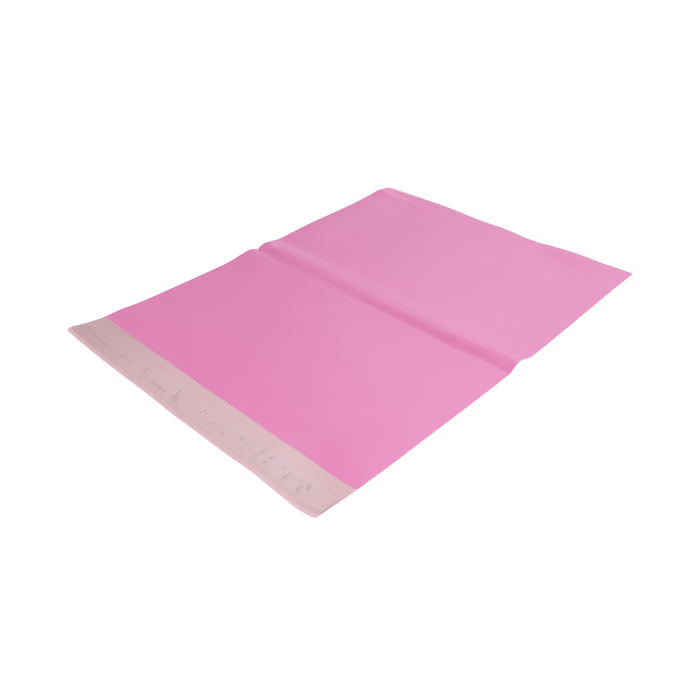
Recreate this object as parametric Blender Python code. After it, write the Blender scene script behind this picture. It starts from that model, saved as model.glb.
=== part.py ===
"""Flat poly mailer: one film envelope with an open mouth and a closing flap, a
hot-melt adhesive strip on the flap, and the release liner that covers it.

Frame: +X across the width, +Y from the flap towards the bottom fold, +Z up.
The origin is the middle of the footprint, on the surface that the bag lies on.
All dimensions below are in millimetres; the meshes are made in metres.

The bag was folded in half for packing and then opened out again, so a low
crease ridge runs across it. It lies with the front panel and the inner face of
the flap up.
"""

import math

import bpy

MM = 0.001

# ---- driving dimensions -----------------------------------------------------
WIDTH = 305.0            # finished width across the side welds (12 in)
FLAP = 37.3              # flap, from the mouth to its free edge (about 1.5 in)
PLAN = 424.6             # footprint length, free edge of the flap to bottom fold
FILM = 0.0635            # one thickness of film (2.5 mil)
WELD = 3.0               # width of each side weld, where both films are fused
AIR = 0.35               # gap left between the two panels of the empty bag

LINER_FROM, LINER_TO = 4.0, 25.0        # release liner, measured from the flap's free edge
GLUE_FROM, GLUE_TO = 8.0, 20.0          # adhesive bead under it
LINER_THICK = 0.06
GLUE_THICK = 0.10
STRIP_GAP = 0.03                         # clearance kept between the laid-on strips

CORNER = 4.0             # rounding of the flap's two free corners, in plan
CREASE = 210.6           # foot of the fold that runs across the bag
HALF = WIDTH / 2.0

# The two places where the back panel lies truly flat on the surface.
FLAT_X = 92.0
FLAT_NEAR = (96.0, 176.0)
FLAT_FAR = (274.0, 344.0)


# ---- shape functions --------------------------------------------------------
def smooth(a, b, v):
    """0 below a, 1 above b, with level ends."""
    k = min(max((v - a) / (b - a), 0.0), 1.0)
    return k * k * (3.0 - 2.0 * k)


def bump(v, centre, width):
    return math.exp(-(((v - centre) / width) ** 2))


def left_edge(s):
    """Height of the left side edge above the surface, s from the flap's free edge."""
    curl = 7.0 / (1.0 + (s / 24.0) ** 2)
    shoulder = 1.1 * bump(s, 54.0, 13.0)
    lip = 3.1 * bump(s, 200.0, 18.0) * (1.0 - smooth(209.5, 214.5, s))
    far = 2.7 * smooth(213.0, 298.0, s)
    knuckle = 2.9 * bump(s, 400.5, 15.5) + 0.8 * bump(s, 376.0, 15.0)
    tuck = -2.0 * smooth(416.0, PLAN + 1.4, s)
    return 0.55 + curl + shoulder + lip + far + knuckle + tuck


def right_edge(s):
    fall = 3.7 * (1.0 - smooth(20.0, 226.0, s))
    curl = 3.4 * bump(s, 0.0, 25.0)
    shoulder = 0.7 * bump(s, 42.0, 17.0)
    rise = 5.0 * smooth(240.0, 450.0, s) + 0.6 * bump(s, 408.0, 12.0)
    return 0.25 + fall + curl + shoulder + rise


def flap_edge(x):
    """Height along the free edge of the flap, x from the left side."""
    curl_left = 5.6 * math.exp(-x / 36.0)
    curl_right = 6.8 * math.exp(-(WIDTH - x) / 5.5)
    waves = 0.5 * bump(x, 112.0, 22.0) - 0.7 * bump(x, 152.0, 16.0) + 1.6 * bump(x, 240.0, 17.0)
    waves = waves - 0.7 * bump(x, 282.0, 9.0)
    return 2.1 + curl_left + curl_right + waves


def bottom_edge(x):
    first = 1.5 * bump(x, 80.0, 38.0)
    second = 0.9 * bump(x, 158.0, 18.0)
    third = 2.2 * smooth(196.0, 248.0, x) * (1.0 - 0.42 * smooth(255.0, 275.0, x))
    dip = -0.9 * bump(x, 194.0, 13.0)
    return 0.4 + first + second + third + dip


def crease_ridge(x, s):
    """The opened-out fold: a low lip, a steep face, then a rounded back."""
    across = smooth(0.0, WIDTH, x)
    free = smooth(15.0, 90.0, x)
    firm = smooth(240.0, 292.0, x)
    d = s - CREASE - 0.8 * math.sin(x / 31.0) * (1.0 - across) - 2.8 * firm
    crest = 2.6 + 2.9 * smooth(100.0, 285.0, x) + 0.9 * (1.0 - smooth(30.0, 92.0, x))
    t = min(max(d / (14.0 + 3.6 * free - 2.2 * across - 2.0 * firm), 0.0), 1.0)
    turn = 0.42 - 0.06 * across
    face = t * t / turn if t < turn else 1.0 - (1.0 - t) ** 2 / (1.0 - turn)
    face = face + 0.35 * firm * (t - face)
    back = 1.0 - smooth(12.5 + 3.0 * free - 2.0 * firm, 36.0 + 2.0 * free + 9.0 * across - 12.0 * firm, d)
    lip = 0.7 * bump(d, -7.0, 7.0) * (1.0 - across)
    return crest * face * back + lip


def corner_trim(x, s):
    """The flap's two free corners are rounded: its free edge steps back towards the sides."""
    reach = abs(x) - (HALF - CORNER)
    if reach <= 0.0:
        return 0.0
    back = CORNER - math.sqrt(max(CORNER * CORNER - reach * reach, 0.0))
    return back * (1.0 - smooth(0.0, 3.0 * CORNER, s))


def near(distance, reach):
    """1 on an edge, falling to 0 at the reach."""
    return 1.0 - smooth(0.0, reach, distance)


def height(x, s):
    """Underside of the back panel, x from -HALF to HALF, s from the flap's free edge."""
    u = x + HALF
    a = near(u, 58.0)
    b = near(WIDTH - u, 58.0)
    c = near(s, 52.0)
    d = near(PLAN - s, 46.0)
    edges = a * left_edge(s) + b * right_edge(s) + c * flap_edge(u) + d * bottom_edge(u)
    shared = (
        a * c * 0.5 * (left_edge(0.0) + flap_edge(0.0))
        + b * c * 0.5 * (right_edge(0.0) + flap_edge(WIDTH))
        + a * d * 0.5 * (left_edge(PLAN) + bottom_edge(0.0))
        + b * d * 0.5 * (right_edge(PLAN) + bottom_edge(WIDTH))
    )
    return max(edges - shared, 0.0) + crease_ridge(u, s)


def pocket(x, s):
    """Air gap between the panels: nothing at the side welds, slack inside them."""
    inside = smooth(0.0, 24.0, HALF - WELD - abs(x))
    slack = AIR + 0.35 * bump(s, CREASE + 16.0, 13.0) + 0.25 * bump(s, PLAN - 8.0, 9.0)
    return inside * slack


# ---- stations shared by every piece ------------------------------------------
def spread(first, last, count):
    return [first + (last - first) * k / count for k in range(count)]


X_STATIONS = (
    [-HALF, -HALF + 1.2, -HALF + WELD]
    + spread(-138.0, -FLAT_X, 2)
    + spread(-FLAT_X, FLAT_X, 5)
    + spread(FLAT_X, 138.0, 2)
    + [138.0, HALF - WELD, HALF - 1.2, HALF]
)
S_STATIONS = (
    [0.0, 2.0, LINER_FROM, GLUE_FROM, 14.0, GLUE_TO, LINER_TO, 31.0, FLAP]
    + spread(50.0, FLAT_NEAR[0], 3)
    + [FLAT_NEAR[0], 136.0, FLAT_NEAR[1], 188.0]
    + [196.0, 204.0, 209.5, 213.0, 217.0, 221.0, 225.0, 229.5, 236.0]
    + [244.0, 256.0, FLAT_FAR[0], 309.0, FLAT_FAR[1], 360.0, 376.0]
    + spread(388.0, 418.0, 5)
    + [418.0, PLAN]
)
MOUTH = S_STATIONS.index(FLAP)
LAST = len(S_STATIONS) - 1
RIGHT = len(X_STATIONS) - 1
FOLD_STEPS = 5           # facets round the bottom fold


class Skin:
    """Collects shared vertices and triangles of one closed film body."""

    def __init__(self):
        self.points = []
        self.index = {}
        self.faces = []

    def at(self, x, s, z):
        key = (round(x, 5), round(s, 5), round(z, 5))
        if key not in self.index:
            self.index[key] = len(self.points)
            plan = s + corner_trim(x, s)
            self.points.append((x * MM, (plan - PLAN / 2.0) * MM, z * MM))
        return self.index[key]

    def tri(self, a, b, c):
        if a != b and b != c and a != c:
            self.faces.append((a, b, c))

    def quad(self, a, b, c, d):
        """Corners in order; the diagonal always runs from a to c."""
        self.tri(a, b, c)
        self.tri(a, c, d)

    def sheet(self, rows, up):
        """A strip grid rows[j][i]; up tells which side faces outwards."""
        for j in range(len(rows) - 1):
            for i in range(len(rows[j]) - 1):
                p, q = rows[j][i], rows[j][i + 1]
                r, t = rows[j + 1][i + 1], rows[j + 1][i]
                if up:
                    self.quad(p, q, r, t)
                else:
                    self.tri(p, r, q)
                    self.tri(p, t, r)


def envelope():
    """The whole film: back panel and flap, bottom fold, front panel and side welds."""
    skin = Skin()
    inner = range(2, RIGHT - 1)      # columns between the side welds

    def end_of(x, s_index):
        """The last station stands back by the radius of the bottom fold."""
        if s_index == LAST:
            return PLAN - FILM - pocket(x, PLAN) / 2.0
        return S_STATIONS[s_index]

    def vertex(i, j, layer):
        x = X_STATIONS[i]
        s = end_of(x, j)
        z = height(x, s)
        gap = pocket(x, PLAN if j == LAST else s)
        lift = {"under": 0.0, "floor": FILM, "ceiling": FILM + gap, "top": 2.0 * FILM + gap}[layer]
        return skin.at(x, s, z + lift)

    every = range(RIGHT + 1)
    under = [[vertex(i, j, "under") for i in every] for j in range(LAST + 1)]
    flap = [[vertex(i, j, "floor") for i in every] for j in range(MOUTH + 1)]
    floor = [[vertex(i, j, "floor") for i in inner] for j in range(MOUTH, LAST + 1)]
    ceiling = [[vertex(i, j, "ceiling") for i in inner] for j in range(MOUTH, LAST + 1)]
    top = [[vertex(i, j, "top") for i in every] for j in range(MOUTH, LAST + 1)]

    skin.sheet(under, False)
    skin.sheet(flap, True)
    skin.sheet(floor, True)
    skin.sheet(ceiling, False)
    skin.sheet(top, True)

    # free edge of the flap
    for i in range(RIGHT):
        skin.quad(under[0][i], under[0][i + 1], flap[0][i + 1], flap[0][i])
    # cut edge of the front panel at the mouth, which is fused to the back in the welds
    lower_lip = flap[MOUTH][:2] + ceiling[0] + flap[MOUTH][RIGHT - 1 :]
    for i in range(RIGHT):
        skin.quad(lower_lip[i], lower_lip[i + 1], top[0][i + 1], top[0][i])
    # side edges
    for i, left in ((0, True), (RIGHT, False)):
        for j in range(MOUTH):
            ring = (under[j][i], flap[j][i], flap[j + 1][i], under[j + 1][i])
            skin.quad(*(ring if left else ring[::-1]))
        a, b, c = under[MOUTH][i], flap[MOUTH][i], top[0][i]
        d, e = top[1][i], under[MOUTH + 1][i]
        for k in ((a, b, e), (b, d, e), (b, c, d)):
            skin.tri(*(k if left else k[::-1]))
        for j in range(MOUTH + 1, LAST):
            ring = (under[j][i], top[j - MOUTH][i], top[j + 1 - MOUTH][i], under[j + 1][i])
            skin.quad(*(ring if left else ring[::-1]))

    # bottom fold: a half round outside, and a smaller one inside the pocket
    def arc(i, layer):
        x = X_STATIONS[i]
        s = end_of(x, LAST)
        gap = pocket(x, PLAN)
        middle = height(x, s) + FILM + gap / 2.0
        radius = gap / 2.0 + (FILM if layer == "outside" else 0.0)
        turn = [math.pi * (k / FOLD_STEPS - 0.5) for k in range(FOLD_STEPS + 1)]
        return [skin.at(x, s + radius * math.cos(t), middle + radius * math.sin(t)) for t in turn]

    outside = [arc(i, "outside") for i in every]
    inside = [arc(i, "inside") for i in inner]
    for i in range(RIGHT):
        for k in range(FOLD_STEPS):
            skin.quad(outside[i][k], outside[i][k + 1], outside[i + 1][k + 1], outside[i + 1][k])
    for i in range(len(inside) - 1):
        for k in range(FOLD_STEPS):
            skin.quad(inside[i][k], inside[i + 1][k], inside[i + 1][k + 1], inside[i][k + 1])
    for k in range(1, FOLD_STEPS):
        skin.tri(outside[0][0], outside[0][k + 1], outside[0][k])
        skin.tri(outside[RIGHT][0], outside[RIGHT][k], outside[RIGHT][k + 1])
    return skin


def strip(s_from, s_to, x_from, x_to, lift, thick):
    """A thin strip laid along the flap, parallel to the film under it."""
    skin = Skin()
    columns = [x for x in X_STATIONS if x_from <= x <= x_to]
    lines = [s for s in S_STATIONS if s_from <= s <= s_to]

    def layer(z):
        return [[skin.at(x, s, height(x, s) + FILM + z) for x in columns] for s in lines]

    low, high = layer(lift), layer(lift + thick)
    skin.sheet(low, False)
    skin.sheet(high, True)
    for i in range(len(columns) - 1):
        skin.quad(low[0][i], low[0][i + 1], high[0][i + 1], high[0][i])
        skin.quad(high[-1][i], high[-1][i + 1], low[-1][i + 1], low[-1][i])
    for j in range(len(lines) - 1):
        skin.quad(low[j][0], high[j][0], high[j + 1][0], low[j + 1][0])
        skin.quad(low[j + 1][-1], high[j + 1][-1], high[j][-1], low[j][-1])
    return skin


def finish_material(name, colour, roughness):
    material = bpy.data.materials.new(name)
    material.use_nodes = True
    shader = material.node_tree.nodes["Principled BSDF"]
    shader.inputs["Base Color"].default_value = (*colour, 1.0)
    shader.inputs["Roughness"].default_value = roughness
    shader.inputs["Metallic"].default_value = 0.0
    return material


def make(name, skin, material):
    mesh = bpy.data.meshes.new(name)
    mesh.from_pydata(skin.points, [], skin.faces)
    mesh.validate()
    mesh.update()
    mesh.shade_smooth()
    mesh.set_sharp_from_angle(angle=math.radians(30.0))
    mesh.materials.append(material)
    obj = bpy.data.objects.new(name, mesh)
    bpy.context.scene.collection.objects.link(obj)
    return obj


def main():
    for obj in list(bpy.data.objects):
        bpy.data.objects.remove(obj)
    film = finish_material("pink_film", (0.79, 0.29, 0.53), 0.42)
    glue = finish_material("hot_melt", (0.74, 0.62, 0.60), 0.35)
    paper = finish_material("release_liner", (0.68, 0.49, 0.54), 0.45)
    side = HALF - WELD
    make("film_envelope", envelope(), film)
    make(
        "adhesive_strip",
        strip(GLUE_FROM, GLUE_TO, -side, side, STRIP_GAP, GLUE_THICK),
        glue,
    )
    make(
        "release_liner",
        strip(LINER_FROM, LINER_TO, -side, side, 2.0 * STRIP_GAP + GLUE_THICK, LINER_THICK),
        paper,
    )


main()
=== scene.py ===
"""Looks of the flat poly mailer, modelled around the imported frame.

The film envelope, the adhesive bead and the release liner are remade here as fine
thin-walled meshes in the places that the frame gives them.
Lengths are in millimetres until the meshes are made; s is measured from the free
edge of the flap, u from the left side.
"""
import math

import bpy
import numpy as np
from mathutils import Matrix, Vector


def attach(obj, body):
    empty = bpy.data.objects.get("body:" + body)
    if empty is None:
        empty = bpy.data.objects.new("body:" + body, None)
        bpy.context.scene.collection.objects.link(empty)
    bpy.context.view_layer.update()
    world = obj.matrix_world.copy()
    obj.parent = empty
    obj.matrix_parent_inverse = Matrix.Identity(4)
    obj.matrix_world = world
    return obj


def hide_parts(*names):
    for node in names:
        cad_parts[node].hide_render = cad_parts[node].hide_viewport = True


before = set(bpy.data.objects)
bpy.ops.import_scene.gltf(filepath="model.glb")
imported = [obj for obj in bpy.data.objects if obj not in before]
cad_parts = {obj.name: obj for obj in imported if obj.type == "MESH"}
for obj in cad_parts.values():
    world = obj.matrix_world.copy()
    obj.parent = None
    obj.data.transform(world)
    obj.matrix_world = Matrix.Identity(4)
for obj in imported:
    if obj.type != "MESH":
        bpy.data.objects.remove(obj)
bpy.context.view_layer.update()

MM = 0.001
WIDTH = 305.0
FLAP = 37.3
PLAN = 424.6
FILM = 0.0635
WELD = 3.0
AIR = 0.35
LINER_FROM, LINER_TO = 4.0, 25.0
GLUE_FROM, GLUE_TO = 8.0, 20.0
LINER_THICK = 0.06
GLUE_THICK = 0.10
STRIP_GAP = 0.03
CORNER = 4.0
CREASE = 210.6
HALF = WIDTH / 2.0


# ---- the frame's own shape ----------------------------------------------------
def smooth(a, b, v):
    k = np.clip((v - a) / (b - a), 0.0, 1.0)
    return k * k * (3.0 - 2.0 * k)


def bump(v, centre, width):
    return np.exp(-(((v - centre) / width) ** 2))


def left_edge(s):
    curl = 7.0 / (1.0 + (s / 24.0) ** 2)
    shoulder = 1.1 * bump(s, 54.0, 13.0)
    lip = 3.1 * bump(s, 200.0, 18.0) * (1.0 - smooth(209.5, 214.5, s))
    far = 2.7 * smooth(213.0, 298.0, s)
    knuckle = 2.9 * bump(s, 400.5, 15.5) + 0.8 * bump(s, 376.0, 15.0)
    tuck = -2.0 * smooth(416.0, PLAN + 1.4, s)
    return 0.55 + curl + shoulder + lip + far + knuckle + tuck


def right_edge(s):
    fall = 3.7 * (1.0 - smooth(20.0, 226.0, s))
    curl = 3.4 * bump(s, 0.0, 25.0)
    shoulder = 0.7 * bump(s, 42.0, 17.0)
    rise = 5.0 * smooth(240.0, 450.0, s) + 0.6 * bump(s, 408.0, 12.0)
    return 0.25 + fall + curl + shoulder + rise


def flap_edge(x):
    curl_left = 5.6 * np.exp(-x / 36.0)
    curl_right = 6.8 * np.exp(-(WIDTH - x) / 5.5)
    waves = 0.5 * bump(x, 112.0, 22.0) - 0.7 * bump(x, 152.0, 16.0) + 1.6 * bump(x, 240.0, 17.0)
    waves = waves - 0.7 * bump(x, 282.0, 9.0)
    return 2.1 + curl_left + curl_right + waves


def bottom_edge(x):
    first = 1.5 * bump(x, 80.0, 38.0)
    second = 0.9 * bump(x, 158.0, 18.0)
    third = 2.2 * smooth(196.0, 248.0, x) * (1.0 - 0.42 * smooth(255.0, 275.0, x))
    dip = -0.9 * bump(x, 194.0, 13.0)
    return 0.4 + first + second + third + dip


def crease_ridge(x, s):
    across = smooth(0.0, WIDTH, x)
    free = smooth(15.0, 90.0, x)
    firm = smooth(240.0, 292.0, x)
    d = s - CREASE - 0.8 * np.sin(x / 31.0) * (1.0 - across) - 2.8 * firm
    crest = 2.6 + 2.9 * smooth(100.0, 285.0, x) + 0.9 * (1.0 - smooth(30.0, 92.0, x))
    t = np.clip(d / (14.0 + 3.6 * free - 2.2 * across - 2.0 * firm), 0.0, 1.0)
    turn = 0.42 - 0.06 * across
    face = np.where(t < turn, t * t / turn, 1.0 - (1.0 - t) ** 2 / (1.0 - turn))
    face = face + 0.35 * firm * (t - face)
    back = 1.0 - smooth(12.5 + 3.0 * free - 2.0 * firm, 36.0 + 2.0 * free + 9.0 * across - 12.0 * firm, d)
    lip = 0.7 * bump(d, -7.0, 7.0) * (1.0 - across)
    return crest * face * back + lip


def corner_trim(x, s):
    reach = np.maximum(np.abs(x) - (HALF - CORNER), 0.0)
    back = CORNER - np.sqrt(np.maximum(CORNER * CORNER - reach * reach, 0.0))
    return back * (1.0 - smooth(0.0, 3.0 * CORNER, s))


def mouth_line(x):
    """How far the cut edge of the front panel strays from a straight line."""
    waves = -0.45 * bump(x, -18.0, 14.0) - 0.3 * bump(x, -130.0, 8.0) + 0.3 * bump(x, 50.0, 30.0)
    return waves + 0.5 * bump(x, 98.0, 10.0) - 1.25 * smooth(112.0, 132.0, x)


def near(distance, reach):
    return 1.0 - smooth(0.0, reach, distance)


def frame_height(x, s):
    u = x + HALF
    a = near(u, 58.0)
    b = near(WIDTH - u, 58.0)
    c = near(s, 52.0)
    d = near(PLAN - s, 46.0)
    edges = a * left_edge(s) + b * right_edge(s) + c * flap_edge(u) + d * bottom_edge(u)
    shared = (
        a * c * 0.5 * (left_edge(0.0) + flap_edge(0.0))
        + b * c * 0.5 * (right_edge(0.0) + flap_edge(WIDTH))
        + a * d * 0.5 * (left_edge(PLAN) + bottom_edge(0.0))
        + b * d * 0.5 * (right_edge(PLAN) + bottom_edge(WIDTH))
    )
    return np.maximum(edges - shared, 0.0) + crease_ridge(u, s)


# ---- fine relief that only the looks need ---------------------------------------
def scatter(ix, iy, seed):
    """A repeatable value from -1 to 1 for each whole-number lattice point."""
    n = (ix.astype(np.int64) * 73856093 + iy.astype(np.int64) * 19349663 + seed * 83492791) & 0x7FFFFFFF
    n = ((n ^ (n >> 13)) * 60493 + 19990303) & 0x7FFFFFFF
    n = ((n ^ (n >> 11)) * 15731 + 789221) & 0x7FFFFFFF
    return (n & 0xFFFF) / 32767.5 - 1.0


def noise(a, b, seed):
    """Smooth value noise on the plane, with a lattice of 1."""
    ia, ib = np.floor(a), np.floor(b)
    fa, fb = a - ia, b - ib
    fa = fa * fa * fa * (fa * (6.0 * fa - 15.0) + 10.0)
    fb = fb * fb * fb * (fb * (6.0 * fb - 15.0) + 10.0)
    v00 = scatter(ia, ib, seed)
    v10 = scatter(ia + 1, ib, seed)
    v01 = scatter(ia, ib + 1, seed)
    v11 = scatter(ia + 1, ib + 1, seed)
    return (v00 * (1 - fa) + v10 * fa) * (1 - fb) + (v01 * (1 - fa) + v11 * fa) * fb


def folds(u, s, rows):
    """Small folds. Each row: middle u, middle s, direction in degrees from the width,
    half length, half width, height, lean (a lean makes one flank steeper)."""
    total = np.zeros(np.broadcast(u, s).shape)
    for u0, s0, turn, long_, wide, tall, lean in rows:
        c, n = math.cos(math.radians(turn)), math.sin(math.radians(turn))
        along = ((u - u0) * c + (s - s0) * n) / long_
        over = (-(u - u0) * n + (s - s0) * c) / wide
        total = total + tall * np.exp(-(along ** 4)) * np.exp(-(over ** 2)) * (1.0 + lean * over)
    return total


CREASE_KINKS = (
    (57.0, 214.5, 12.0, 5.0, 1.8, 0.45, 0.4),
    (61.0, 219.0, -20.0, 4.0, 2.2, 0.35, -0.3),
    (24.0, 217.0, 25.0, 5.0, 2.5, -0.40, 0.0),
    (14.0, 222.0, -35.0, 6.0, 3.0, 0.50, 0.3),
    (128.0, 213.5, 4.0, 22.0, 1.6, 0.18, 0.5),
    (196.0, 213.5, -3.0, 26.0, 1.5, 0.16, 0.5),
    (252.0, 214.0, 8.0, 6.0, 1.8, 0.40, 0.4),
)
HEM_FOLDS = (
    (40.0, 414.5, -0.8, 40.0, 1.6, 0.16, 0.0),
    (193.0, 418.0, 8.0, 9.0, 4.0, 0.25, 0.2),
)
FLAP_FOLDS = (
    (28.0, 14.4, -6.5, 21.0, 1.4, 0.34, 0.9),
    (12.0, 20.0, 55.0, 9.0, 5.0, 0.35, 0.4),
    (290.0, 3.9, 9.0, 15.0, 1.1, -0.55, 0.3),
    (297.0, 1.4, 10.0, 8.0, 1.6, 0.45, 0.0),
)


def hem_ridge(u, s):
    """At the left of the bottom fold the doubled film stands in a long rise and a short drop."""
    d = s - 403.5 - 5.0 * smooth(15.0, 45.0, u)
    return 1.25 * (smooth(-24.0, -3.0, d) - smooth(-3.5, 3.5, d)) * smooth(0.0, 16.0, u) * (1.0 - smooth(58.0, 125.0, u))


def film_relief(x, s):
    """Slow waves of the whole bag and its small folds, over the frame's shape."""
    u = x + HALF
    slow = 0.10 * (1.0 + noise(u / 74.0 + 3.1, s / 96.0 + 7.7, 5))
    slow = slow + 0.03 * (1.0 + noise(u / 31.0, s / 42.0, 9))
    kink = folds(u, s, CREASE_KINKS)
    hem = folds(u, s, HEM_FOLDS)
    flap = folds(u, s, FLAP_FOLDS) * (1.0 - smooth(FLAP - 9.0, FLAP - 3.0, s))
    dip = 1.15 * bump(s, 402.0, 10.5) * (1.0 - smooth(272.0, 300.0, u))
    upturn = smooth(178.0, 236.0, u) * (1.35 * smooth(404.0, PLAN + 10.0, s) - dip)
    shift = 1.6 * smooth(235.0, 285.0, u)
    brisk = 0.38 * bump(s - CREASE, 8.0 + shift, 4.4) - 0.24 * bump(s - CREASE, 3.4 + shift, 2.4)
    brisk = brisk * smooth(95.0, 165.0, u) * (1.0 - smooth(284.0, 302.0, u))
    return slow + kink + brisk + hem + hem_ridge(u, s) + flap + upturn


def height(x, s):
    return np.maximum(frame_height(x, s) + film_relief(x, s), 0.0)


def pocket(x, s):
    u = x + HALF
    inside = smooth(0.0, 24.0, HALF - WELD - np.abs(x))
    slack = AIR + 0.35 * bump(s, CREASE + 16.0, 13.0) + 0.25 * bump(s, PLAN - 8.0, 9.0)
    slack = slack + 0.16 * (1.0 + noise(u / 55.0 + 11.0, s / 63.0 + 2.0, 21))
    return inside * (0.04 + (slack - 0.04) * smooth(FLAP, FLAP + 34.0, s))


# ---- meshes ----------------------------------------------------------------------
def stations(*runs):
    """Runs of (first, last, spacing) joined into one rising list."""
    values = []
    for first, last, step in runs:
        count = max(int(round((last - first) / step)), 1)
        values += [first + (last - first) * k / count for k in range(count)]
    values.append(runs[-1][1])
    return np.array(values)


class Body:
    """Vertices, faces and each face's material number of one closed thin film."""

    def __init__(self):
        self.blocks = []
        self.count = 0
        self.faces = []
        self.slots = []

    def add(self, x, s, z):
        x, s, z = np.broadcast_arrays(x, s, z)
        index = np.arange(self.count, self.count + x.size).reshape(x.shape)
        y = s - PLAN / 2.0
        self.blocks.append(np.stack([x.ravel(), y.ravel(), z.ravel()], -1) * MM)
        self.count += x.size
        return index

    def quads(self, a, b, c, d, slot):
        """Four index arrays of one shape; corners that repeat are dropped."""
        for q in np.stack([a.ravel(), b.ravel(), c.ravel(), d.ravel()], -1).tolist():
            face = [v for k, v in enumerate(q) if v != q[k - 1]]
            if len(set(face)) == len(face) and len(face) > 2:
                self.faces.append(face)
                self.slots.append(slot)

    def sheet(self, rows, up, slot):
        a, b, c, d = rows[:-1, :-1], rows[:-1, 1:], rows[1:, 1:], rows[1:, :-1]
        if up:
            self.quads(a, b, c, d, slot)
        else:
            self.quads(a, d, c, b, slot)

    def wall(self, low, high, slot):
        """Joins two lines of points; the wall faces -Y when the lines run to +X."""
        self.quads(low[:-1], low[1:], high[1:], high[:-1], slot)

    def build(self, name, materials, sharp=38.0):
        mesh = bpy.data.meshes.new(name)
        mesh.from_pydata(np.concatenate(self.blocks).tolist(), [], self.faces)
        mesh.validate()
        mesh.polygons.foreach_set("material_index", np.array(self.slots, np.int32))
        mesh.update()
        mesh.shade_smooth()
        mesh.set_sharp_from_angle(angle=math.radians(sharp))
        for m in materials:
            mesh.materials.append(m)
        obj = bpy.data.objects.new(name, mesh)
        bpy.context.scene.collection.objects.link(obj)
        return obj


ARC = 8


def make_envelope(materials):
    """Back panel and flap, bottom fold, front panel and side welds, as one film."""
    xs = stations(
        (-HALF, -HALF + 1.2, 0.4), (-HALF + 1.2, -HALF + WELD, 0.6), (-HALF + WELD, -138.0, 1.9),
        (-138.0, -110.0, 2.6), (-110.0, 110.0, 3.1), (110.0, 138.0, 2.6),
        (138.0, HALF - WELD, 1.9), (HALF - WELD, HALF - 1.2, 0.6), (HALF - 1.2, HALF, 0.4),
    )
    ss = stations(
        (0.0, 6.0, 0.75), (6.0, 22.0, 1.15), (22.0, FLAP, 1.8), (FLAP, 50.0, 1.7), (50.0, 192.0, 4.2),
        (192.0, 208.0, 1.7), (208.0, 232.0, 0.8), (232.0, 250.0, 1.6), (250.0, 392.0, 4.2),
        (392.0, 414.0, 0.95), (414.0, PLAN, 1.1),
    )
    mouth = int(np.argmin(np.abs(ss - FLAP)))
    w0 = int(np.argmin(np.abs(xs + HALF - WELD)))
    w1 = int(np.argmin(np.abs(xs - HALF + WELD)))
    body = Body()
    X, S = np.meshgrid(xs, ss)
    gap_end = pocket(xs, PLAN)
    S[-1] = PLAN - FILM - gap_end / 2.0
    H = height(X, S)
    G = pocket(X, S)
    G[-1] = gap_end
    P = S + corner_trim(X, S) + mouth_line(X) * bump(S, FLAP, 6.0)

    u = xs + HALF
    inside = smooth(0.0, 14.0, HALF - WELD - np.abs(xs))
    wobble = inside * (0.24 * noise(u / 15.0, u * 0.0 + 0.5, 31) + 0.12 * noise(u / 5.0, u * 0.0 + 2.5, 33))
    front = P.copy()
    for j in range(mouth, len(ss)):
        front[j] += wobble * (1.0 - smooth(FLAP, FLAP + 7.0, ss[j]))

    under = body.add(X, P, H)
    flap = body.add(X[: mouth + 1], P[: mouth + 1], H[: mouth + 1] + FILM)
    top = body.add(X[mouth:], front[mouth:], (H + 2.0 * FILM + G)[mouth:])
    # welds: both films are one there
    inner = slice(w0, w1 + 1)
    floor = np.empty((len(ss) - mouth, w1 - w0 + 1), np.int64)
    floor[0] = flap[mouth, inner]
    floor[1:] = body.add(X[mouth + 1 :, inner], P[mouth + 1 :, inner], (H + FILM)[mouth + 1 :, inner])
    ceiling = floor.copy()
    mid = slice(w0 + 1, w1)
    ceiling[:, 1:-1] = body.add(X[mouth:, mid], front[mouth:, mid], (H + FILM + G)[mouth:, mid])

    body.sheet(under, False, 0)
    body.sheet(flap, True, 1)
    body.sheet(floor, True, 1)
    body.sheet(ceiling, False, 1)
    body.sheet(top, True, 0)
    body.wall(under[0], flap[0], 0)
    lower = np.concatenate([flap[mouth, :w0], ceiling[0], flap[mouth, w1 + 1 :]])
    body.wall(lower, top[0], 0)
    for i, left in ((0, True), (len(xs) - 1, False)):
        def side(a, b, c, d):
            if left:
                body.quads(a, b, c, d, 0)
            else:
                body.quads(d, c, b, a, 0)
        side(under[:mouth, i], flap[:mouth, i], flap[1 : mouth + 1, i], under[1 : mouth + 1, i])
        side(under[mouth + 1 : -1, i], top[1:-1, i], top[2:, i], under[mouth + 2 :, i])
        ring = [int(under[mouth, i]), int(flap[mouth, i]), int(top[0, i]), int(top[1, i]), int(under[mouth + 1, i])]
        body.faces.append(ring if left else ring[::-1])
        body.slots.append(0)

    def arc(columns, radius, first, last):
        middle = H[-1, columns] + FILM + gap_end[columns] / 2.0
        rows = [first]
        for k in range(1, ARC):
            t = math.pi * (k / ARC - 0.5)
            rows.append(body.add(xs[columns], S[-1, columns] + radius * math.cos(t), middle + radius * math.sin(t)))
        return rows + [last]

    every = slice(0, len(xs))
    outside = np.array(arc(every, gap_end / 2.0 + FILM, under[-1], top[-1]))
    body.quads(outside[:-1, :-1], outside[1:, :-1], outside[1:, 1:], outside[:-1, 1:], 0)
    inside_rows = arc(inner, gap_end[inner] / 2.0, floor[-1], ceiling[-1])
    inside_rows = np.array(inside_rows)
    inside_rows[:, 0] = floor[-1, 0]
    inside_rows[:, -1] = floor[-1, -1]
    body.quads(inside_rows[:-1, :-1], inside_rows[:-1, 1:], inside_rows[1:, 1:], inside_rows[1:, :-1], 1)
    cap = [int(v) for v in outside[:, 0]]
    body.faces.append(cap[::-1])
    body.slots.append(0)
    cap = [int(v) for v in outside[:, -1]]
    body.faces.append(cap)
    body.slots.append(0)
    obj = body.build("mailer_film", materials)
    return obj


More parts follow.
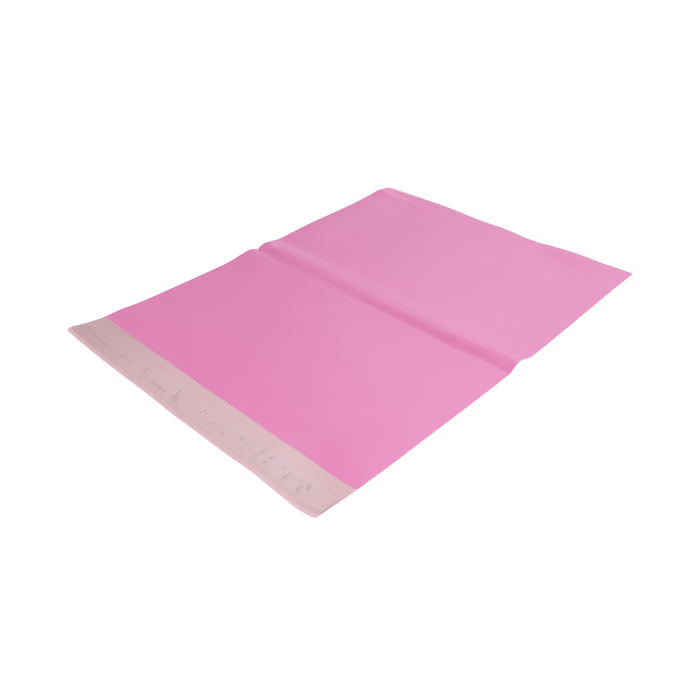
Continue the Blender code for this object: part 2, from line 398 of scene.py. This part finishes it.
def on_glue(s):
    """1 where the adhesive carries the liner, falling to 0 at the liner's free borders."""
    return smooth(LINER_FROM, GLUE_FROM, s) * (1.0 - smooth(GLUE_TO, LINER_TO, s))


def everywhere(s):
    return np.ones(np.shape(s))


def make_strip(name, s_from, s_to, lift, thick, relief, spacing, materials, hold_up=everywhere, inset=0.0, contact_shade=None):
    """A thin strip along the flap; relief lifts both of its faces off the film.

    The mask, when given, marks each point with painted shade, partly also how closely it lies on what is below."""
    side = HALF - WELD - inset
    xs = stations((-side, side, spacing))
    ss = stations((s_from, s_to, spacing))
    X, S = np.meshgrid(xs, ss)
    base = height(X, S) + FILM + STRIP_GAP + (lift - STRIP_GAP) * hold_up(S)
    r = relief(X + HALF, S)
    P = S + corner_trim(X, S)
    body = Body()
    low = body.add(X, P, base + r)
    high = body.add(X, P, base + r + thick)
    body.sheet(low, False, 0)
    body.sheet(high, True, 0)
    body.wall(low[0], high[0], 0)
    body.quads(high[-1, :-1], high[-1, 1:], low[-1, 1:], low[-1, :-1], 0)
    body.quads(low[:-1, 0], high[:-1, 0], high[1:, 0], low[1:, 0], 0)
    body.quads(low[1:, -1], high[1:, -1], high[:-1, -1], low[:-1, -1], 0)
    obj = body.build(name, materials)
    if contact_shade is not None:
        mark = obj.data.attributes.new("contact_shade", "FLOAT", "POINT")
        mark.data.foreach_set("value", np.tile(contact_shade(X + HALF, S).ravel(), 2).astype(np.float32))
    return obj


# Small folds of the release liner. A positive height is a ridge, a negative one a groove.
LINER_FOLDS = (
    (28.0, 14.4, -4.0, 21.0, 1.2, -0.20, 0.0),
    (28.0, 16.8, -4.0, 21.0, 1.5, 0.14, 0.0),
    (62.5, 12.8, 70.0, 4.2, 0.9, -0.26, 0.0),
    (66.5, 12.2, 95.0, 3.4, 1.1, 0.30, 0.0),
    (71.5, 15.4, 20.0, 3.8, 1.0, -0.20, 0.0),
    (77.0, 12.6, 84.0, 2.6, 0.8, -0.26, 0.0),
    (82.0, 15.6, 40.0, 3.4, 1.2, 0.30, 0.0),
    (92.0, 17.6, 62.0, 5.4, 1.4, -0.16, 0.0),
    (99.0, 11.0, 64.0, 3.8, 0.9, -0.28, 0.0),
    (102.0, 11.4, 68.0, 3.4, 1.0, 0.34, 0.0),
    (108.5, 10.4, 30.0, 2.4, 0.9, -0.28, 0.0),
    (118.0, 10.4, 4.0, 7.0, 1.2, -0.26, 0.0),
    (126.2, 10.6, 104.0, 3.6, 0.9, -0.24, 0.0),
    (130.4, 14.4, 96.0, 7.4, 1.3, 0.44, 0.0),
    (133.6, 16.2, 97.0, 7.2, 0.9, -0.34, 0.0),
    (140.0, 10.6, -28.0, 6.0, 2.0, -0.20, 0.0),
    (164.8, 15.4, 91.0, 5.6, 0.7, -0.28, 0.0),
    (166.4, 13.2, 84.0, 3.6, 0.8, 0.26, 0.0),
    (180.0, 13.2, 76.0, 3.4, 0.7, -0.30, 0.0),
    (178.2, 14.0, 78.0, 3.2, 0.8, 0.22, 0.0),
    (186.0, 19.0, 80.0, 3.4, 1.1, 0.32, 0.0),
    (188.0, 13.0, 86.0, 4.4, 1.0, -0.16, 0.0),
    (195.8, 11.8, 60.0, 1.9, 0.8, -0.24, 0.0),
    (207.0, 19.2, 60.0, 2.4, 0.8, 0.36, 0.0),
    (209.6, 18.0, 64.0, 2.2, 0.7, -0.30, 0.0),
    (206.6, 10.6, 80.0, 2.0, 0.8, 0.28, 0.0),
    (217.0, 11.0, 50.0, 1.8, 0.8, -0.20, 0.0),
    (228.4, 15.8, 88.0, 6.8, 1.0, 0.34, 0.0),
    (230.6, 15.8, 88.0, 7.2, 0.8, -0.38, 0.0),
    (240.2, 19.6, 84.0, 2.4, 0.9, -0.24, 0.0),
    (240.4, 12.0, 70.0, 1.9, 0.7, -0.32, 0.0),
    (254.0, 19.2, 50.0, 3.2, 1.2, -0.16, 0.0),
    (257.4, 15.2, 104.0, 4.4, 0.9, 0.28, 0.0),
    (259.6, 14.6, 104.0, 4.8, 0.8, -0.32, 0.0),
    (271.6, 19.6, 20.0, 3.4, 1.1, 0.30, 0.0),
    (277.4, 17.4, 128.0, 5.2, 1.3, -0.34, 0.0),
    (274.6, 11.4, 108.0, 3.8, 0.9, -0.30, 0.0),
    (281.6, 14.0, 40.0, 3.0, 1.2, 0.26, 0.0),
    (298.0, 13.4, 60.0, 2.6, 1.0, -0.20, 0.0),
)
LINER_LIFT = 0.20


def liner_folds(u, s, broad=1.0):
    """The folds, made to wander a little; broad widens them."""
    aside = 1.1 * noise(u / 3.6, s / 3.2, 71)
    ahead = 1.3 * noise(u / 4.2, s / 3.0, 73)
    rows = [(u0, s0, turn, long_ * broad ** 0.2, wide * broad, tall, lean) for u0, s0, turn, long_, wide, tall, lean in LINER_FOLDS]
    return folds(u + aside, s + ahead, rows)


def liner_relief(u, s):
    """The liner rides a little above the adhesive, so that its grooves stay clear of it."""
    hold = on_glue(s)
    ends = smooth(3.2, 9.0, u) * (1.0 - smooth(WIDTH - 9.0, WIDTH - 3.2, u))
    made = liner_folds(u, s)
    bend = 1.6 * noise(u / 9.0, s / 6.0, 41)
    ripple = noise((u + bend) / 4.4, s / 8.0, 43) * smooth(-0.1, 0.8, noise(u / 21.0, s / 12.0 + 4.0, 47))
    fine = noise((u - bend) / 1.9, (s + bend) / 2.6, 53)
    value = LINER_LIFT + made + 0.045 * ripple + 0.008 * fine
    return np.maximum(value, 0.015) * hold * ends + 0.01


def liner_contact_shade(u, s):
    """A mask from 0 to 1 of painted shade on the liner: its grooves, partly also where it lies on the adhesive, and
    its left end.
    """
    patchy = 0.75 + 0.35 * noise(u / 2.3, s / 1.9, 79)
    # Painted shade in the grooves, partly also where the liner lies on the adhesive.
    groove = np.clip(-liner_folds(u, s) / 0.30, 0.0, 1.0) * patchy
    groove = groove + np.clip(-liner_folds(u, s, 2.6) / 1.3, 0.0, 0.3)
    # Painted shade toward the liner's left end.
    left_end_shade = 0.55 * (1.0 - smooth(6.0, 96.0, u)) * (0.85 + 0.3 * noise(u / 9.0, s / 5.0, 83))
    return np.clip(groove + left_end_shade, 0.0, 1.0) * on_glue(s)


def glue_relief(u, s):
    return 0.012 * (1.0 + noise(u / 2.4, s / 1.6, 61)) * 0.5


# ---- materials -------------------------------------------------------------------
def node(tree, kind, **values):
    made = tree.nodes.new(kind)
    for key, value in values.items():
        setattr(made, key, value)
    return made


def noise_map(tree, coords, scale, detail, stretch=(1.0, 1.0, 1.0), rough=0.5):
    mapping = node(tree, "ShaderNodeMapping")
    mapping.inputs["Scale"].default_value = stretch
    tree.links.new(coords, mapping.inputs["Vector"])
    texture = node(tree, "ShaderNodeTexNoise")
    texture.inputs["Scale"].default_value = scale
    texture.inputs["Detail"].default_value = detail
    texture.inputs["Roughness"].default_value = rough
    tree.links.new(mapping.outputs["Vector"], texture.inputs["Vector"])
    return texture.outputs["Fac"]


def spread_to(tree, value, low, high, at=(0.3, 0.7)):
    remap = node(tree, "ShaderNodeMapRange")
    remap.inputs["From Min"].default_value = at[0]
    remap.inputs["From Max"].default_value = at[1]
    remap.inputs["To Min"].default_value = low
    remap.inputs["To Max"].default_value = high
    tree.links.new(value, remap.inputs["Value"])
    return remap.outputs["Result"]


def blend_colours(tree, factor, first, second):
    mix = node(tree, "ShaderNodeMix", data_type="RGBA")
    tree.links.new(factor, mix.inputs["Factor"])
    for socket, value in ((mix.inputs["A"], first), (mix.inputs["B"], second)):
        if isinstance(value, tuple):
            socket.default_value = (*value, 1.0)
        else:
            tree.links.new(value, socket)
    return mix.outputs["Result"]


def raised(tree, value, distance, strength, normal=None):
    bump_node = node(tree, "ShaderNodeBump")
    bump_node.inputs["Distance"].default_value = distance
    bump_node.inputs["Strength"].default_value = strength
    tree.links.new(value, bump_node.inputs["Height"])
    if normal is not None:
        tree.links.new(normal, bump_node.inputs["Normal"])
    return bump_node.outputs["Normal"]


def graded(tree, coords, base, axis, full, none, shade):
    """Blends the base toward a shade along one axis, full at one place and none at another."""
    parts = node(tree, "ShaderNodeSeparateXYZ")
    tree.links.new(coords, parts.inputs["Vector"])
    ramp = node(tree, "ShaderNodeMapRange", interpolation_type="SMOOTHSTEP")
    ramp.inputs["From Min"].default_value = full
    ramp.inputs["From Max"].default_value = none
    ramp.inputs["To Min"].default_value = 1.0
    ramp.inputs["To Max"].default_value = 0.0
    tree.links.new(parts.outputs[axis], ramp.inputs["Value"])
    return blend_colours(tree, ramp.outputs["Result"], base, shade)


# Painted shade: the pale films of the flap are deepened toward its curled left end.
LEFT_END_PAINTED_SHADE = (-0.150, -0.030)


def film_material(name, light, deep, rough, tint, grades=()):
    """Satin blown film: faint clouds and drawing lines along the web, and a fine orange peel."""
    material = bpy.data.materials.new(name)
    material.use_nodes = True
    tree = material.node_tree
    shader = tree.nodes["Principled BSDF"]
    coords = node(tree, "ShaderNodeTexCoord").outputs["Object"]
    clouds = noise_map(tree, coords, 11.0, 3.0)
    lines = noise_map(tree, coords, 1.0, 4.0, (3.0, 420.0, 3.0), 0.6)
    specks = noise_map(tree, coords, 1300.0, 2.0)
    base = blend_colours(tree, spread_to(tree, clouds, 0.0, 1.0), deep, light)
    faint = tuple(min(c * 1.035, 1.0) for c in light)
    base = blend_colours(tree, spread_to(tree, lines, 0.0, 0.30, (0.45, 0.75)), base, faint)
    # Grades blend tones along one axis; the callers pass painted shade and the flap's rim tone.
    for grade in grades:
        base = graded(tree, coords, base, *grade)
    tree.links.new(base, shader.inputs["Base Color"])
    tree.links.new(spread_to(tree, noise_map(tree, coords, 26.0, 4.0), rough - 0.04, rough + 0.04), shader.inputs["Roughness"])
    shader.inputs["IOR"].default_value = 1.59
    shader.inputs["Specular Tint"].default_value = (*tint, 1.0)
    peel = noise_map(tree, coords, 190.0, 3.0)
    normal = raised(tree, peel, 0.00005, 0.16)
    normal = raised(tree, lines, 0.00003, 0.12, normal)
    normal = raised(tree, specks, 0.00001, 0.08, normal)
    tree.links.new(normal, shader.inputs["Normal"])
    return material


def liner_material():
    """Release film with painted shade: deeper in its grooves, which are partly also where it lies on the adhesive,
    and toward its left end; paler elsewhere.
    """
    material = bpy.data.materials.new("release_liner_look")
    material.use_nodes = True
    tree = material.node_tree
    shader = tree.nodes["Principled BSDF"]
    coords = node(tree, "ShaderNodeTexCoord").outputs["Object"]
    patches = noise_map(tree, coords, 95.0, 3.0, (1.0, 1.5, 1.0))
    wet = spread_to(tree, patches, 0.0, 1.0, (0.44, 0.60))
    base = blend_colours(tree, wet, (0.566, 0.374, 0.407), (0.580, 0.385, 0.419))
    # Painted shade: the liner is deepened toward its left end.
    base = graded(tree, coords, base, "X", *LEFT_END_PAINTED_SHADE, (0.527, 0.320, 0.348))
    mark = node(tree, "ShaderNodeAttribute", attribute_name="contact_shade").outputs["Fac"]
    # Painted shade: a deeper colour where the mask is high, in the grooves and at the left end.
    base = blend_colours(tree, mark, base, (0.475, 0.288, 0.328))
    tree.links.new(base, shader.inputs["Base Color"])
    tree.links.new(spread_to(tree, patches, 0.34, 0.40, (0.4, 0.65)), shader.inputs["Roughness"])
    shader.inputs["IOR"].default_value = 1.59
    shader.inputs["Specular Tint"].default_value = (0.18, 1.0, 1.0, 1.0)
    normal = raised(tree, noise_map(tree, coords, 420.0, 3.0), 0.00005, 0.35)
    normal = raised(tree, noise_map(tree, coords, 1700.0, 1.0), 0.00001, 0.4, normal)
    tree.links.new(normal, shader.inputs["Normal"])
    return material


def glue_material():
    material = bpy.data.materials.new("hot_melt_look")
    material.use_nodes = True
    tree = material.node_tree
    shader = tree.nodes["Principled BSDF"]
    coords = node(tree, "ShaderNodeTexCoord").outputs["Object"]
    clouds = noise_map(tree, coords, 140.0, 3.0)
    base = blend_colours(tree, spread_to(tree, clouds, 0.0, 1.0), (0.70, 0.56, 0.55), (0.78, 0.66, 0.63))
    tree.links.new(base, shader.inputs["Base Color"])
    tree.links.new(spread_to(tree, clouds, 0.22, 0.36), shader.inputs["Roughness"])
    shader.inputs["IOR"].default_value = 1.48
    normal = raised(tree, noise_map(tree, coords, 600.0, 2.0), 0.00008, 0.5)
    tree.links.new(normal, shader.inputs["Normal"])
    return material


# ---- pieces ----------------------------------------------------------------------
PINK_LIGHT = (0.673, 0.182, 0.396)
PINK_DEEP = (0.661, 0.177, 0.387)
INNER_LIGHT = (0.598, 0.373, 0.414)
INNER_DEEP = (0.588, 0.367, 0.406)
pink = film_material(
    "pink_film_outside", PINK_LIGHT, PINK_DEEP, 0.37, (0.0, 1.0, 0.92),
    # Painted shade: the far end of the front panel is deepened toward red, standing in for less sheen there.
    (("Y", 0.195, 0.080, (0.692, 0.176, 0.390)),),
)
RIM = (0.622, 0.397, 0.449)
inner = film_material(
    "pink_film_inside", INNER_LIGHT, INNER_DEEP, 0.37, (0.18, 1.0, 1.0),
    # Painted shade toward the flap's left end, then a paler, pinker tone at the bare rim.
    (("X", *LEFT_END_PAINTED_SHADE, (0.523, 0.316, 0.350)), ("Y", -0.2090, -0.2045, RIM)),
)

film = make_envelope([pink, inner])
glue = make_strip(
    "adhesive_bead", GLUE_FROM, GLUE_TO, STRIP_GAP, GLUE_THICK, glue_relief, 1.2, [glue_material()], inset=0.6
)
liner = make_strip(
    "release_liner_film", LINER_FROM, LINER_TO, 2.0 * STRIP_GAP + GLUE_THICK, LINER_THICK, liner_relief, 0.5, [liner_material()],
    hold_up=on_glue, contact_shade=liner_contact_shade,
)

for piece, cad, slot in (
    (film, "film_envelope", "pink_film"),
    (glue, "adhesive_strip", "hot_melt"),
    (liner, "release_liner", "release_liner"),
):
    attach(piece, "root")
    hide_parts(cad)

# ---- floor, light and camera --------------------------------------------------------
floor_mesh = bpy.data.meshes.new("floor")
REACH = 4.0
floor_mesh.from_pydata(
    [(-REACH, -REACH, -0.0002), (REACH, -REACH, -0.0002), (REACH, REACH, -0.0002), (-REACH, REACH, -0.0002)],
    [],
    [(0, 1, 2, 3)],
)
floor = bpy.data.objects.new("floor", floor_mesh)
bpy.context.scene.collection.objects.link(floor)
paper = bpy.data.materials.new("white_floor")
paper.use_nodes = True
paper_tree = paper.node_tree
paper_shader = paper_tree.nodes["Principled BSDF"]
paper_coords = node(paper_tree, "ShaderNodeTexCoord").outputs["Object"]
paper_base = blend_colours(paper_tree, noise_map(paper_tree, paper_coords, 3.0, 2.0), (0.50, 0.50, 0.50), (0.52, 0.52, 0.52))
paper_tree.links.new(paper_base, paper_shader.inputs["Base Color"])
paper_shader.inputs["Roughness"].default_value = 0.9
paper_shader.inputs["Specular IOR Level"].default_value = 0.0
paper_shader.inputs["Emission Color"].default_value = (1.0, 1.0, 1.0, 1.0)
paper_shader.inputs["Emission Strength"].default_value = 1.05
floor_mesh.materials.append(paper)

# An even grey-white room with a brighter sweep low behind the bag.
world = bpy.data.worlds.new("studio")
world.use_nodes = True
world_tree = world.node_tree
room = world_tree.nodes["Background"]
direction = node(world_tree, "ShaderNodeTexCoord").outputs["Generated"]
split = node(world_tree, "ShaderNodeSeparateXYZ")
world_tree.links.new(direction, split.inputs["Vector"])
rise = node(world_tree, "ShaderNodeMapRange", interpolation_type="SMOOTHSTEP")
rise.inputs["From Min"].default_value = 0.11
rise.inputs["From Max"].default_value = 0.34
rise.inputs["To Min"].default_value = 1.08
rise.inputs["To Max"].default_value = 0.0
world_tree.links.new(split.outputs["Z"], rise.inputs["Value"])
behind = node(world_tree, "ShaderNodeMapRange", interpolation_type="SMOOTHSTEP")
behind.inputs["From Min"].default_value = -0.05
behind.inputs["From Max"].default_value = 0.45
world_tree.links.new(split.outputs["Y"], behind.inputs["Value"])
sweep = node(world_tree, "ShaderNodeMath", operation="MULTIPLY")
world_tree.links.new(rise.outputs["Result"], sweep.inputs[0])
world_tree.links.new(behind.outputs["Result"], sweep.inputs[1])
total = node(world_tree, "ShaderNodeMath", operation="ADD")
world_tree.links.new(sweep.outputs["Value"], total.inputs[0])
total.inputs[1].default_value = 0.367
room.inputs["Color"].default_value = (1.0, 1.0, 1.0, 1.0)
world_tree.links.new(total.outputs["Value"], room.inputs["Strength"])
bpy.context.scene.world = world

AZ, EL = 0.7573427, 0.6243352
toward = Vector((math.sin(AZ) * math.cos(EL), -math.cos(AZ) * math.cos(EL), math.sin(EL)))
right = Vector((math.cos(AZ), math.sin(AZ), 0.0))
up = toward.cross(right)
back = Vector((-math.sin(AZ), math.cos(AZ), 0.0))
aim = Vector((0.039805, 0.148858 - PLAN * MM / 2.0, 0.0024))


def softbox(name, place, target, size, radiance, colour=(1.0, 1.0, 1.0)):
    """A large soft light of a given brightness as seen from the object."""
    data = bpy.data.lights.new(name, "AREA")
    data.shape = "ELLIPSE"
    data.size, data.size_y = size
    data.energy = radiance * math.pi * (math.pi / 4.0) * size[0] * size[1]
    data.color = colour
    lamp = bpy.data.objects.new(name, data)
    lamp.location = place
    lamp.rotation_euler = (Vector(target) - Vector(place)).to_track_quat("-Z", "Y").to_euler()
    lamp.visible_camera = False
    bpy.context.scene.collection.objects.link(lamp)
    return lamp


def from_way(azimuth, elevation, distance):
    az, el = math.radians(azimuth), math.radians(elevation)
    return Vector((math.cos(el) * math.cos(az), math.cos(el) * math.sin(az), math.sin(el))) * distance


softbox("key_behind", from_way(104.1, 44.5, 1.70), (0, 0, 0), (1.72, 1.72), 1.39)
softbox("top_side", from_way(-28.8, 65.4, 0.879), (0, 0, 0), (0.540, 0.540), 6.78)
softbox("front_fill", from_way(-109.4, 25.0, 1.386), (0, 0, 0), (0.792, 0.792), 2.51)

camera_data = bpy.data.cameras.new("camera")
camera_data.sensor_width = 36.0
camera_data.lens = 748.63 / 700.0 * 36.0
camera_data.clip_start = 0.01
camera_data.clip_end = 30.0
camera = bpy.data.objects.new("camera", camera_data)
DISTANCE = 2.0304145 * WIDTH * MM
nudge = 0.5 / 748.63 * DISTANCE
camera.matrix_world = Matrix.Translation(aim + toward * DISTANCE - right * nudge + up * nudge) @ Matrix(
    ((right.x, up.x, toward.x), (right.y, up.y, toward.y), (right.z, up.z, toward.z))
).to_4x4()
bpy.context.scene.collection.objects.link(camera)
bpy.context.scene.camera = camera
bpy.context.scene.view_settings.view_transform = "Standard"
bpy.context.scene.view_settings.look = "None"

bpy.context.view_layer.update()
